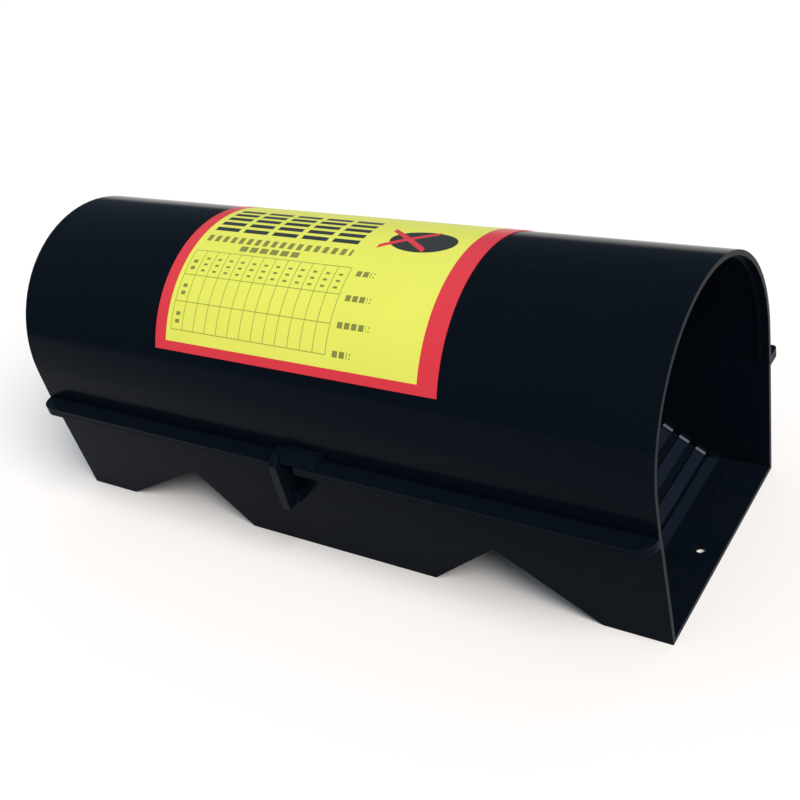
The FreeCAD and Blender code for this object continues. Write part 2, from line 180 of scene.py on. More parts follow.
# %% [markdown]
# ## The moulded skin
# Moulded plastic copies the polish of its mould, but it shrinks unevenly as it cools. Reflections in it
# bend softly over a hand's width, with a fine orange-peel on top. The waves could be modelled, but that
# takes a very dense mesh, so both are heights for a Bump node. One group makes them for every moulding,
# together with a slow change in how rough the surface is, drawn out along the tunnel as the plastic flowed.

# %% Moulded skin: slow waves, fine orange-peel and uneven gloss
WAVE_SCALE = 14.0
PEEL_SCALE = 900.0
PEEL_SHARE = 0.012
FLOW_SCALE = 2.0
FLOW_STRETCH = (3.0, 60.0, 60.0)
FLOW_SHARE = 0.10
skin_group, entry, result = new_group(
    "Moulded Skin",
    (("Coordinates", "NodeSocketVector", None), ("Wave", "NodeSocketFloat", 1.0),
     ("Peel", "NodeSocketFloat", 1.0), ("Flow", "NodeSocketFloat", 1.0)),
    (("Height", "NodeSocketFloat"), ("Gloss Change", "NodeSocketFloat")),
)
wave = noise(skin_group, entry["Coordinates"], WAVE_SCALE, detail=1.0)
peel = noise(skin_group, entry["Coordinates"], PEEL_SCALE, detail=2.0)
drawn_out = stretched(skin_group, entry["Coordinates"], FLOW_STRETCH)
flow = noise(skin_group, drawn_out, FLOW_SCALE, detail=3.0)
wave_height = math_node(skin_group, "MULTIPLY", wave, entry["Wave"])
peel_height = math_node(skin_group, "MULTIPLY", peel, entry["Peel"])
flow_height = math_node(skin_group, "MULTIPLY", flow, entry["Flow"])
slow = math_node(skin_group, "MULTIPLY_ADD", flow_height, FLOW_SHARE, wave_height)
height = math_node(skin_group, "MULTIPLY_ADD", peel_height, PEEL_SHARE, slow)
skin_group.links.new(height, result["Height"])
skin_group.links.new(flow, result["Gloss Change"])
print("group", skin_group.name, "with", len(skin_group.nodes), "nodes")

# %% [markdown]
# ## Scuffs and dust
# A black plastic box that stands on a floor is never clean. Hands and shelves leave hair-fine scratches
# in many directions, and dust settles on what faces up. A painted picture of scratches would repeat and
# need a seam, so here they are a noise drawn out along one axis and cut to its thin ridges, in patches.
# Dust reads the surface's own direction, so it stays on the same faces when the cover turns.

# %% Hair-fine scuffs in three directions
SCUFF_DIRECTIONS = ((0.2, 0.5, 0.3), (1.1, 0.2, 1.4), (2.3, 1.2, 0.6))
SCUFF_STRETCH = (70.0, 1600.0, 420.0)
SCUFF_RIDGE = (0.66, 0.74)
RUBBED_SCALE = 22.0
RUBBED_PATCH = (0.42, 0.68)
scuff_group, entry, result = new_group(
    "Hair Scuffs",
    (("Coordinates", "NodeSocketVector", None), ("Amount", "NodeSocketFloat", 0.5)),
    (("Mask", "NodeSocketFloat"),),
)
scuff_total = 0.0
for turn in SCUFF_DIRECTIONS:
    drawn_out = stretched(scuff_group, entry["Coordinates"], SCUFF_STRETCH, turn)
    strands = noise(scuff_group, drawn_out, scale=1.0, detail=2.0)
    scuff_lines = fade_between(scuff_group, strands, *SCUFF_RIDGE)
    scuff_total = math_node(scuff_group, "MAXIMUM", scuff_total, scuff_lines)
patches = noise(scuff_group, entry["Coordinates"], RUBBED_SCALE, detail=2.0)
rubbed = fade_between(scuff_group, patches, *RUBBED_PATCH)
scuffed = math_node(scuff_group, "MULTIPLY", scuff_total, rubbed)
scuff_group.links.new(math_node(scuff_group, "MULTIPLY", scuffed, entry["Amount"]), result["Mask"])
print("group", scuff_group.name, "with", len(SCUFF_DIRECTIONS), "directions")

# %% Dust on what faces up
FACING_UP = (0.25, 1.0)
CLOUD_SCALE = 35.0
CLOUD_EDGE = (0.3, 0.8)
SPECK_SCALE = 1500.0
SPECK_EDGE = (0.58, 0.72)
SPECK_SHARE = 0.8
dust_group, entry, result = new_group(
    "Settled Dust",
    (("Coordinates", "NodeSocketVector", None), ("Amount", "NodeSocketFloat", 0.5)),
    (("Mask", "NodeSocketFloat"),),
)
facing = split_axes(dust_group, add_node(dust_group, "ShaderNodeTexCoord").outputs["Normal"])
upward = fade_between(dust_group, facing["Z"], *FACING_UP)
clouds = noise(dust_group, entry["Coordinates"], CLOUD_SCALE, detail=6.0)
cloudy = fade_between(dust_group, clouds, *CLOUD_EDGE)
grains = noise(dust_group, entry["Coordinates"], SPECK_SCALE, detail=1.0)
specks = fade_between(dust_group, grains, *SPECK_EDGE)
film = math_node(dust_group, "MULTIPLY_ADD", specks, SPECK_SHARE, cloudy)
settled = math_node(dust_group, "MULTIPLY", film, upward)
dust_mask = math_node(dust_group, "MULTIPLY", settled, entry["Amount"], clamp=True)
dust_group.links.new(dust_mask, result["Mask"])
print("group", dust_group.name, "with", len(dust_group.nodes), "nodes")

# %% [markdown]
# ## Painted light on the crowns of the ridges
# Rats climb the two ramps inside. The crowns of the grip ridges catch the light from above, and that light is
# painted into their colour as a paler grey: a painted highlight, in uneven patches. Painting each crown by
# hand would take a map of its own, but a crown stands a known height over its ramp, so the mask compares the
# height of a point over the ramp's plane with that rise. One more ridge lies on the level floor before each
# ramp, and the mask stops at the side walls.

# %% The ramps and their ridges
WALL_THICK = 2.0 * MM
WALL_INSIDE = 51.4 * MM
RIDGE_RISE = 1.2 * MM
RAMP_RISE = 27.4 * MM
LEVEL_RIDGE_START = 127.6 * MM
RAMPS = {
    # side of the middle, distance of the ramp's foot from it, the ramp's run, number of ridges on it
    "right": (1, 127.0 * MM, 42.2 * MM, 5),
    "left": (-1, 126.4 * MM, 53.2 * MM, 7),
}


def ramp_slope(run):
    return math.atan(RAMP_RISE / run)


for ramp_name, (_, _, run, ridge_count) in RAMPS.items():
    print(ramp_name, "ramp", round(math.degrees(ramp_slope(run)), 1), "degrees,", ridge_count, "ridges")

# %% Painted highlight on the crowns of the ridges
CROWN_REACH = 0.3 * MM
# These patches make the painted highlight on the crowns uneven.
CROWN_PATCH_SCALE = 90.0
CROWN_PATCH_SWING = 0.6
CROWN_PATCH_LEAST = 0.7


def crown_mask(tree, spot, side, foot, run):
    # The height over the ramp's plane, square to it, has a part along the tunnel and a part upwards.
    slope = ramp_slope(run)
    out = math_node(tree, "MULTIPLY_ADD", spot["X"], side * math.sin(slope), -foot * math.sin(slope))
    up = math_node(tree, "MULTIPLY_ADD", spot["Z"], math.cos(slope), -WALL_THICK * math.cos(slope))
    height = math_node(tree, "ADD", out, up)
    return math_node(tree, "COMPARE", height, RIDGE_RISE, CROWN_REACH)


# This group's mask marks where the crowns get their painted highlight, a paler grey for the light they catch.
lit_crown_group, entry, result = new_group(
    "Painted Crown Light",
    (("Coordinates", "NodeSocketVector", None), ("Amount", "NodeSocketFloat", 0.5)),
    (("Mask", "NodeSocketFloat"),),
)
spot = split_axes(lit_crown_group, entry["Coordinates"])
at_level = math_node(lit_crown_group, "COMPARE", spot["Z"], WALL_THICK + RIDGE_RISE, CROWN_REACH)
off_centre = math_node(lit_crown_group, "ABSOLUTE", spot["X"])
before_ramp = math_node(lit_crown_group, "GREATER_THAN", off_centre, LEVEL_RIDGE_START)
crowns = math_node(lit_crown_group, "MULTIPLY", at_level, before_ramp)
for side, foot, run, _ in RAMPS.values():
    ramp_crowns = crown_mask(lit_crown_group, spot, side, foot, run)
    crowns = math_node(lit_crown_group, "MAXIMUM", crowns, ramp_crowns)
off_middle = math_node(lit_crown_group, "ABSOLUTE", spot["Y"])
between_walls = math_node(lit_crown_group, "LESS_THAN", off_middle, WALL_INSIDE)
inside_crowns = math_node(lit_crown_group, "MULTIPLY", crowns, between_walls)
patches = noise(lit_crown_group, entry["Coordinates"], CROWN_PATCH_SCALE, detail=3.0)
uneven_crown_light = math_node(lit_crown_group, "MULTIPLY_ADD", patches, CROWN_PATCH_SWING, CROWN_PATCH_LEAST)
lit_crowns = math_node(lit_crown_group, "MULTIPLY", inside_crowns, uneven_crown_light)
lit_crown_mask = math_node(lit_crown_group, "MULTIPLY", lit_crowns, entry["Amount"], clamp=True)
lit_crown_group.links.new(lit_crown_mask, result["Mask"])
print("group", lit_crown_group.name, "with", len(lit_crown_group.nodes), "nodes")

# %% [markdown]
# ## Black moulded plastic
# The mouldings are the same plastic in one colour, but the cover was polished more than the base, and the
# latch is handled most. Separate materials would drift apart as they are tuned, so one function builds them
# all. Each moulding gives its own gloss, dust and scuffs, and the base also gets a paler grey painted on its
# ridge crowns, a painted highlight. The specular level is low, because this plastic looks deep black wherever
# it doesn't face a bright surface. The hollow corners at the ends of the ridges are rubbed brightest, so they
# get a shinier version of it.

# %% One function for every black moulding
PLASTIC_BLACK = (0.0026, 0.0046, 0.0082, 1.0)
SHEEN_BLUE = (0.88, 0.94, 1.0, 1.0)
# A paler grey painted on the ridge crowns: a painted highlight for the light they catch.
CROWN_LIT_GREY = (0.0085, 0.0125, 0.0220, 1.0)
SCUFF_GREY = (0.040, 0.045, 0.052, 1.0)
DUST_GREY = (0.23, 0.22, 0.20, 1.0)
GLOSS_SWING = 0.12
SCUFF_ROUGHNESS = 0.25
DUST_ROUGHNESS = 0.6
SKIN_BUMP = 0.35
SKIN_DEPTH = 0.6 * MM


def black_plastic(name, roughness, specular, dust, scuffs, wave, painted_crown_light=0.0):
    material, tree, surface, coordinates = start_material(name)
    skin = use_group(tree, skin_group, {"Coordinates": coordinates, "Wave": wave})
    scuff = use_group(tree, scuff_group, {"Coordinates": coordinates, "Amount": scuffs})["Mask"]
    dusty = use_group(tree, dust_group, {"Coordinates": coordinates, "Amount": dust})["Mask"]
    crown_paint = use_group(tree, lit_crown_group, {"Coordinates": coordinates, "Amount": painted_crown_light})["Mask"]
    # The crowns of the ridges are painted paler here, a painted highlight.
    crown_lit_black = mix_colour(tree, crown_paint, PLASTIC_BLACK, CROWN_LIT_GREY)
    marked_black = mix_colour(tree, scuff, crown_lit_black, SCUFF_GREY)
    paint(tree, surface, mix_colour(tree, dusty, marked_black, DUST_GREY))
    least = roughness - GLOSS_SWING / 2
    uneven = math_node(tree, "MULTIPLY_ADD", skin["Gloss Change"], GLOSS_SWING, least)
    marked = math_node(tree, "MULTIPLY_ADD", scuff, SCUFF_ROUGHNESS, uneven)
    set_gloss(tree, surface, dusty, DUST_ROUGHNESS, marked, clamp=True)
    surface.inputs["Specular IOR Level"].default_value = specular
    surface.inputs["Specular Tint"].default_value = SHEEN_BLUE
    add_bump(tree, surface, skin["Height"], SKIN_BUMP, SKIN_DEPTH)
    return material


cover_plastic = black_plastic("Polished cover plastic", roughness=0.15, specular=0.024,
                              dust=0.004, scuffs=0.08, wave=1.0)
# The base carries the painted highlight on its ridge crowns.
base_plastic = black_plastic("Moulded base plastic", roughness=0.20, specular=0.020,
                             dust=0.005, scuffs=0.10, wave=0.8, painted_crown_light=0.8)
latch_plastic = black_plastic("Handled latch plastic", roughness=0.24, specular=0.055,
                              dust=0.006, scuffs=0.30, wave=0.3)
burnished_plastic = black_plastic("Burnished ridge ends", roughness=0.20, specular=0.220,
                                  dust=0.0, scuffs=0.05, wave=0.3)
print("plastics:", cover_plastic.name, "/", base_plastic.name, "/", latch_plastic.name, "/",
      burnished_plastic.name)

# %% [markdown]
# ## Plated steel
# The hinge pins are zinc-plated steel, turned to size, which leaves fine rings round them. Rings could be
# modelled, but they are far finer than the pins' own edges. So a noise squeezed hard along the pins' length
# changes only the gloss and the bump, and a slow blush changes the tone of the zinc.

# %% Zinc-plated pins
ZINC_DULL = (0.42, 0.43, 0.45, 1.0)
ZINC_BRIGHT = (0.66, 0.66, 0.67, 1.0)
RING_STRETCH = (2500.0, 60.0, 60.0)
BLUSH_SCALE = 260.0
RING_DEPTH = 0.05 * MM
pin_steel, tree, surface, coordinates = start_material("Zinc plated pin")
rings = noise(tree, stretched(tree, coordinates, RING_STRETCH), scale=1.0, detail=2.0)
blush = noise(tree, coordinates, BLUSH_SCALE, detail=3.0)
paint(tree, surface, mix_colour(tree, blush, ZINC_DULL, ZINC_BRIGHT))
surface.inputs["Metallic"].default_value = 1.0
set_gloss(tree, surface, rings, swing=0.22, start=0.22)
add_bump(tree, surface, rings, strength=0.3, distance=RING_DEPTH)
print("material", pin_steel.name)

# %% [markdown]
# ## Pressed wax
# The bait is grain pressed in coloured wax: a waxy skin with paler crumbs of grain showing and a granular
# feel. Crumbs could be scattered as small meshes, but they are flush with the skin, so the cells of a
# Voronoi texture stand for them. Each cell has a random colour, and only cells over a limit show a crumb.

# %% Pressed bait wax
WAX_DARK = (0.012, 0.12, 0.16, 1.0)
WAX_PALE = (0.035, 0.26, 0.33, 1.0)
CRUMB_TAN = (0.42, 0.34, 0.18, 1.0)
CRUMB_SCALE = 420.0
CRUMB_EDGE = (0.38, 0.22)
CRUMB_LIMIT = 0.72
CRUMB_RISE = 0.6
MOTTLE_SCALE = 180.0
WAX_DEPTH = 0.5 * MM
bait_wax, tree, surface, coordinates = start_material("Pressed bait wax")
cells = add_node(tree, "ShaderNodeTexVoronoi",
                 {"Vector": coordinates, "Scale": CRUMB_SCALE, "Randomness": 1.0}).outputs
near_centre = fade_between(tree, cells["Distance"], *CRUMB_EDGE)
cell_colour = add_node(tree, "ShaderNodeSeparateColor", {0: cells["Color"]}).outputs
chosen = math_node(tree, "GREATER_THAN", cell_colour[0], CRUMB_LIMIT)
crumbs = math_node(tree, "MULTIPLY", near_centre, chosen)
mottle = noise(tree, coordinates, MOTTLE_SCALE, detail=4.0)
wax = mix_colour(tree, mottle, WAX_DARK, WAX_PALE)
paint(tree, surface, mix_colour(tree, crumbs, wax, CRUMB_TAN))
set_gloss(tree, surface, mottle, swing=0.3, start=0.32)
lumps = math_node(tree, "MULTIPLY_ADD", crumbs, CRUMB_RISE, mottle)
add_bump(tree, surface, lumps, strength=0.7, distance=WAX_DEPTH)
print("material", bait_wax.name)

# %% [markdown]
# ## The printed label, as ink on a flat sheet
# The label is vinyl film printed in three inks: a yellow ground, a red border, and dark marks. It is drawn
# the way it was printed, on the flat. Its UV map is in sheets: 0 to 1 along the tunnel and 0 to 1 from the
# lower edge to the top, so multiplying by the sheet's size gives millimetres. An image would need a file,
# and nearly every mark is a rectangle, some of them broken into dashes, so two small groups draw them.
# The marks stand for a title, a service table and its captions, and none of them is lettering.

# %% The sheet's own size
SHEET_WIDTH = LABEL_LENGTH / MM
SHEET_HEIGHT = ARCH_RADIUS * (LABEL_FOOT - LABEL_TOP) / MM
print("label sheet", round(SHEET_WIDTH, 1), "by", round(SHEET_HEIGHT, 1), "mm")

# %% Inked rectangles
bar_group, entry, result = new_group(
    "Ink Bar",
    (("Across", "NodeSocketFloat", 0.0), ("Up", "NodeSocketFloat", 0.0), ("Left", "NodeSocketFloat", 0.0),
     ("Right", "NodeSocketFloat", 1.0), ("Low", "NodeSocketFloat", 0.0), ("High", "NodeSocketFloat", 1.0)),
    (("Mask", "NodeSocketFloat"),),
)
inside = math_node(bar_group, "MULTIPLY",
                   math_node(bar_group, "GREATER_THAN", entry["Across"], entry["Left"]),
                   math_node(bar_group, "LESS_THAN", entry["Across"], entry["Right"]))
between = math_node(bar_group, "MULTIPLY",
                    math_node(bar_group, "GREATER_THAN", entry["Up"], entry["Low"]),
                    math_node(bar_group, "LESS_THAN", entry["Up"], entry["High"]))
bar_group.links.new(math_node(bar_group, "MULTIPLY", inside, between), result["Mask"])


def bar_mask(tree, sheet, left, right, low, high):
    inputs = {"Across": sheet[0], "Up": sheet[1], "Left": left, "Right": right, "Low": low, "High": high}
    return use_group(tree, bar_group, inputs)["Mask"]


print("group", bar_group.name)

# %% Dashes that break a rectangle along one direction
dash_group, entry, result = new_group(
    "Ink Dashes",
    (("Along", "NodeSocketFloat", 0.0), ("Start", "NodeSocketFloat", 0.0),
     ("Pitch", "NodeSocketFloat", 1.0), ("Share", "NodeSocketFloat", 0.5)),
    (("Mask", "NodeSocketFloat"),),
)
from_start = math_node(dash_group, "SUBTRACT", entry["Along"], entry["Start"])
dash_count = math_node(dash_group, "DIVIDE", from_start, entry["Pitch"])
through_dash = math_node(dash_group, "FRACT", dash_count)
dash_group.links.new(math_node(dash_group, "LESS_THAN", through_dash, entry["Share"]), result["Mask"])


def dash_mask(tree, along, start, pitch, share):
    inputs = {"Along": along, "Start": start, "Pitch": pitch, "Share": share}
    return use_group(tree, dash_group, inputs)["Mask"]


print("group", dash_group.name)

# %% [markdown]
# ## Laying out the print
# The layout is a list of marks in millimetres on the flat sheet. A mark has a strength of ink, its left,
# right, low and high sides, and may be broken across, up, or both ways, each time with a pitch and a share
# of ink. The table is ruled by giving such dashes a very small share. A list is easier to shift and tune
# than a node for each mark placed by hand, and one loop later turns it into nodes.

# %% The title and its captions
INK_MARKS = []
TITLE_INK, TABLE_INK, FINE_INK = 1.0, 0.62, 0.72
TITLE_LEFT, TITLE_PITCH, TITLE_MARKS, TITLE_GAP = 9.8, 15.6, 5, 2.6
TITLE_RIGHT = TITLE_LEFT + TITLE_MARKS * TITLE_PITCH - TITLE_GAP


def add_mark(strength, left, right, low, high, across=None, up=None):
    INK_MARKS.append((strength, left, right, low, high, across, up))


add_mark(TITLE_INK, TITLE_LEFT, TITLE_RIGHT, 57.6, 77.6, across=(TITLE_PITCH, 0.83), up=(4.35, 0.58))
add_mark(FINE_INK, 10.0, 86.0, 50.6, 54.2, across=(4.4, 0.56))
add_mark(FINE_INK, 31.0, 63.0, 46.6, 49.4, across=(5.4, 0.74))
print(len(INK_MARKS), "ink marks")

# %% The ruled service table and the short lines beside it
TABLE_LEFT, TABLE_RIGHT, TABLE_LOW, TABLE_HIGH = 8.5, 90.1, 8.9, 44.7
TABLE_ROWS = (20.8, 32.6)
TABLE_COLUMNS = 13
RULE = 0.35
CELL_GAP = 2.1
ROW_NAMES = (11.8, 23.8, 35.2)
SIDE_LEFT = 93.6
SIDE_LINES = ((41.2, 7.0), (30.4, 10.2), (19.6, 13.4), (8.6, 7.0))
column = (TABLE_RIGHT - TABLE_LEFT) / TABLE_COLUMNS
ruled_right = TABLE_RIGHT + RULE
add_mark(TABLE_INK, TABLE_LEFT, ruled_right, TABLE_LOW, TABLE_HIGH + RULE, across=(column, RULE / column))
for low in (TABLE_LOW, *TABLE_ROWS, TABLE_HIGH):
    add_mark(TABLE_INK, TABLE_LEFT, ruled_right, low, low + RULE)
heading_left = TABLE_LEFT + column + CELL_GAP
add_mark(FINE_INK, heading_left, TABLE_RIGHT, 34.8, 43.0, across=(column, 0.32), up=(2.9, 0.34))
for low in ROW_NAMES:
    add_mark(FINE_INK, TABLE_LEFT + CELL_GAP, TABLE_LEFT + 4.4, low, low + 6.4, up=(3.2, 0.5))
for low, length in SIDE_LINES:
    side_right = SIDE_LEFT + length
    add_mark(FINE_INK, SIDE_LEFT, side_right, low, low + 2.5, across=(3.3, 0.74))
    add_mark(FINE_INK, side_right + 1.0, side_right + 1.6, low, low + 2.3, up=(1.6, 0.4))
print(len(INK_MARKS), "ink marks")

# %% [markdown]
# ## The crossed oval
# A plain oval struck out by two strokes stands for the pest. Rectangles can't draw a curve or a slope, so
# each gets a formula in millimetres on the sheet: an ellipse's, and the distance from a sloping line.

# %% The crossed oval that stands for the pest
PEST_CENTRE = (112.0, 64.0)
PEST_RADII = (15.0, 7.6)
CROSS_CENTRE = (105.0, 64.5)
CROSS_REACH, CROSS_WIDTH, CROSS_SLOPE = 10.5, 2.6, 0.62


def oval_mask(tree, sheet):
    from_centre = [math_node(tree, "SUBTRACT", way, middle) for way, middle in zip(sheet, PEST_CENTRE)]
    sideways = math_node(tree, "DIVIDE", from_centre[0], PEST_RADII[0])
    upwards = math_node(tree, "DIVIDE", from_centre[1], PEST_RADII[1])
    upwards_squared = math_node(tree, "MULTIPLY", upwards, upwards)
    distance = math_node(tree, "MULTIPLY_ADD", sideways, sideways, upwards_squared)
    return math_node(tree, "LESS_THAN", distance, 1.0)


def stroke_mask(tree, sheet, slope):
    sideways = math_node(tree, "SUBTRACT", sheet[0], CROSS_CENTRE[0])
    upwards = math_node(tree, "SUBTRACT", sheet[1], CROSS_CENTRE[1])
    offset = math_node(tree, "ABSOLUTE", math_node(tree, "MULTIPLY_ADD", sideways, -slope, upwards))
    near = math_node(tree, "LESS_THAN", offset, CROSS_WIDTH / 2)
    short = math_node(tree, "LESS_THAN", math_node(tree, "ABSOLUTE", sideways), CROSS_REACH)
    return math_node(tree, "MULTIPLY", near, short)


print("oval", PEST_RADII, "mm, cross", CROSS_REACH, "mm")

# %% [markdown]
# ## The label's film
# Screen ink lies a hair over the film, so the marks are a little glossier and stand up a touch. The yellow
# is slightly uneven, it carries fine dust, and the film lifts a little where air is trapped under it. Marks
# cut out as thin meshes would be hard to tune and could flicker, so it is all one material on one sheet:
# masks choose the ink, and a bump lifts it.

# %% The ink masks, mark by mark
BORDER_LEFT, BORDER_RIGHT, BORDER_LOW, BORDER_HIGH = 6.1, 8.7, 4.0, 5.0
label_film, tree, surface, coordinates = start_material("Printed vinyl film")
flat = split_axes(tree, add_node(tree, "ShaderNodeUVMap", uv_map="Sheet").outputs[0])
sheet = (math_node(tree, "MULTIPLY", flat["X"], SHEET_WIDTH),
         math_node(tree, "MULTIPLY", flat["Y"], SHEET_HEIGHT))
ink = 0.0
for strength, left, right, low, high, dashes_across, dashes_up in INK_MARKS:
    mark = bar_mask(tree, sheet, left, right, low, high)
    for dashes, along, start in ((dashes_across, sheet[0], left), (dashes_up, sheet[1], low)):
        if dashes:
            mark = math_node(tree, "MULTIPLY", mark, dash_mask(tree, along, start, *dashes))
    ink = math_node(tree, "MAXIMUM", ink, math_node(tree, "MULTIPLY", mark, strength))
pest = oval_mask(tree, sheet)
rising = stroke_mask(tree, sheet, CROSS_SLOPE)
falling = stroke_mask(tree, sheet, -CROSS_SLOPE)
cross = math_node(tree, "MAXIMUM", rising, falling)
ground = bar_mask(tree, sheet, BORDER_LEFT, SHEET_WIDTH - BORDER_RIGHT,
                  BORDER_LOW, SHEET_HEIGHT - BORDER_HIGH)
print("masks for", len(INK_MARKS), "marks, the oval, the cross and the border")

# %% Printed vinyl
LABEL_YELLOW = (0.76, 0.76, 0.108, 1.0)
LABEL_YELLOW_DEEP = (0.70, 0.70, 0.088, 1.0)
LABEL_RED = (0.66, 0.032, 0.046, 1.0)
LABEL_INK = (0.020, 0.024, 0.022, 1.0)
LABEL_DUST = 0.03
FADE_SCALE, FLECK_SCALE, BUBBLE_SCALE = 25.0, 2200.0, 55.0
FLECK_SWING, FILM_ROUGHNESS = 0.14, 0.36
INK_SHINE = -0.10
INK_RISE = 0.06
BUBBLE_DEPTH = 0.4 * MM
fade = noise(tree, coordinates, FADE_SCALE, detail=4.0)
yellow = mix_colour(tree, fade, LABEL_YELLOW, LABEL_YELLOW_DEEP)
printed = mix_colour(tree, math_node(tree, "MAXIMUM", ink, pest), yellow, LABEL_INK)
crossed = mix_colour(tree, cross, printed, LABEL_RED)
bordered = mix_colour(tree, ground, LABEL_RED, crossed)
dusty = use_group(tree, dust_group, {"Coordinates": coordinates, "Amount": LABEL_DUST})["Mask"]
paint(tree, surface, mix_colour(tree, dusty, bordered, DUST_GREY))
border = math_node(tree, "SUBTRACT", 1.0, ground)
any_ink = math_node(tree, "MAXIMUM", math_node(tree, "MAXIMUM", ink, cross), border)
fleck = noise(tree, coordinates, FLECK_SCALE, detail=1.0)
film_gloss = math_node(tree, "MULTIPLY_ADD", fleck, FLECK_SWING, FILM_ROUGHNESS)
set_gloss(tree, surface, any_ink, INK_SHINE, film_gloss)
surface.inputs["Specular IOR Level"].default_value = 0.4
bubble = noise(tree, coordinates, BUBBLE_SCALE, detail=2.0)
relief = math_node(tree, "MULTIPLY_ADD", any_ink, INK_RISE, bubble)
add_bump(tree, surface, relief, strength=0.25, distance=BUBBLE_DEPTH)
print("material", label_film.name, "with", len(tree.nodes), "nodes")

# %% [markdown]
# ## Softened moulding edges
# A moulded edge is never perfectly sharp, and its narrow round is what catches a line of light along the
# flanges and round the mouth of the tunnel. The edges could be rounded one by one in edit mode, but a Bevel
# modifier limited by angle finds them all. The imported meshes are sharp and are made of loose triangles, so
# each moulding gets a copy that is merged, cleaned to flat faces, bevelled and given smooth normals.

# %% Select one piece, and apply its modifiers
def only_select(piece):
    bpy.ops.object.select_all(action="DESELECT")
    piece.select_set(True)
    bpy.context.view_layer.objects.active = piece


def apply_modifiers(piece):
    only_select(piece)
    for modifier in list(piece.modifiers):
        bpy.ops.object.modifier_apply(modifier=modifier.name)


print("helpers for selecting and for modifiers")

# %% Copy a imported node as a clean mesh
MERGE_DISTANCE = 0.002 * MM
FLAT_ANGLE = math.radians(0.3)


def clean_copy(node, name):
    piece = bpy.data.objects.new(name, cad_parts[node].data.copy())
    bpy.context.scene.collection.objects.link(piece)
    only_select(piece)
    bpy.ops.object.mode_set(mode="EDIT")
    bpy.ops.mesh.select_all(action="SELECT")
    bpy.ops.mesh.remove_doubles(threshold=MERGE_DISTANCE)
    bpy.ops.mesh.customdata_custom_splitnormals_clear()
    bpy.ops.mesh.dissolve_limited(angle_limit=FLAT_ANGLE)
    bpy.ops.object.mode_set(mode="OBJECT")
    return piece


print("faces within", round(math.degrees(FLAT_ANGLE), 1), "degrees of each other become one")

# %% Soften the copy's edges and finish the piece
BEVEL_ANGLE = math.radians(24)
SMOOTH_ANGLE = math.radians(32)


def softened_copy(node, name, width, segments, body, material):
    piece = clean_copy(node, name)
    bevel = piece.modifiers.new("Softened edges", "BEVEL")
    bevel.width = width
    bevel.segments = segments
    bevel.limit_method = "ANGLE"
    bevel.angle_limit = BEVEL_ANGLE
    bevel.use_clamp_overlap = True
    bevel.miter_outer = "MITER_ARC"
    piece.modifiers.new("Flat faces stay flat", "WEIGHTED_NORMAL").keep_sharp = True
    bpy.ops.object.shade_smooth_by_angle(angle=SMOOTH_ANGLE)
    apply_modifiers(piece)
    piece.data.materials.clear()
    piece.data.materials.append(material)
    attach(piece, body)
    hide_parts(node)
    print(name, len(piece.data.vertices), "points,", len(piece.data.polygons), "faces")


SHELL_BEVEL = 0.28 * MM
LATCH_BEVEL = 0.32 * MM
SHELL_STEPS = 2
SMALL_STEPS = 3
softened_copy("base_shell", "base_moulding", SHELL_BEVEL, SHELL_STEPS, "base",
              base_plastic)
softened_copy("arch_cover", "cover_moulding", SHELL_BEVEL, SHELL_STEPS, "cover",
              cover_plastic)
softened_copy("front_latch", "latch_moulding", LATCH_BEVEL, SMALL_STEPS, "latch",
              latch_plastic)

# %% [markdown]
# ## Pins and bait
# The two hinge pins and the four wax blocks are softened in the same way. A turned pin has a small chamfer
# at each end, while pressed wax crumbles to a wider round, so the two differ only in how wide the bevel is.

# %% Pins and wax
PIN_BEVEL = 0.18 * MM
WAX_BEVEL = 0.6 * MM
BAIT_BLOCKS = 4
for side in ("left", "right"):
    softened_copy("hinge_pin_" + side, "steel_pin_" + side, PIN_BEVEL, SMALL_STEPS, "base",
                  pin_steel)
for number in range(1, BAIT_BLOCKS + 1):
    softened_copy("bait_block_%d" % number, "wax_block_%d" % number, WAX_BEVEL, SMALL_STEPS, "base",
                  bait_wax)

# %% [markdown]
# ## Root fillets at the ends of the ridges
# Where a ridge runs into a side wall the mould leaves a small hollow corner, and it catches the light as a
# short bright dash. The bevel on the base rounds every edge alike, and far less than this, so these corners
# are a piece of their own. It starts as a bar with a round groove cut along it, made at the origin with its
# length along X. Each ridge end gets a copy, turned to the slope and set into the wall, and all are joined.

# %% One grooved bar
CROWN_WIDTH = 4.8 * MM
FILLET_RADIUS = 2.6 * MM
FILLET_SUNK = 0.4 * MM
GROOVE_SIDES = 48


def fillet_pattern():
    bpy.ops.object.select_all(action="DESELECT")
    bar_size = FILLET_RADIUS + FILLET_SUNK
    bar_middle = (FILLET_RADIUS - FILLET_SUNK) / 2
    bpy.ops.mesh.primitive_cube_add(size=1.0, location=(0.0, bar_middle, bar_middle),
                                    scale=(CROWN_WIDTH, bar_size, bar_size))
    bar = bpy.context.object
    bpy.ops.object.transform_apply()
    bpy.ops.mesh.primitive_cylinder_add(vertices=GROOVE_SIDES, radius=FILLET_RADIUS, depth=2 * CROWN_WIDTH,
                                        location=(0.0, FILLET_RADIUS, FILLET_RADIUS),
                                        rotation=(0.0, math.pi / 2, 0.0))
    groove = bpy.context.object
    cut = bar.modifiers.new("Round groove", "BOOLEAN")
    cut.object = groove
    cut.solver = "EXACT"
    apply_modifiers(bar)
    bpy.data.objects.remove(groove)
    return bar


pattern = fillet_pattern()
print("grooved bar with", len(pattern.data.polygons), "faces")

# %% A copy at every ridge end
RIDGE_PITCH = 7.1 * MM
RIDGE_FOOT = 5.6 * MM
WALL_HEIGHT = 50.8 * MM
WALL_SPREAD = 2.1 * MM
WALL_LEAN = WALL_SPREAD / WALL_HEIGHT
LEVEL_STEP = -1


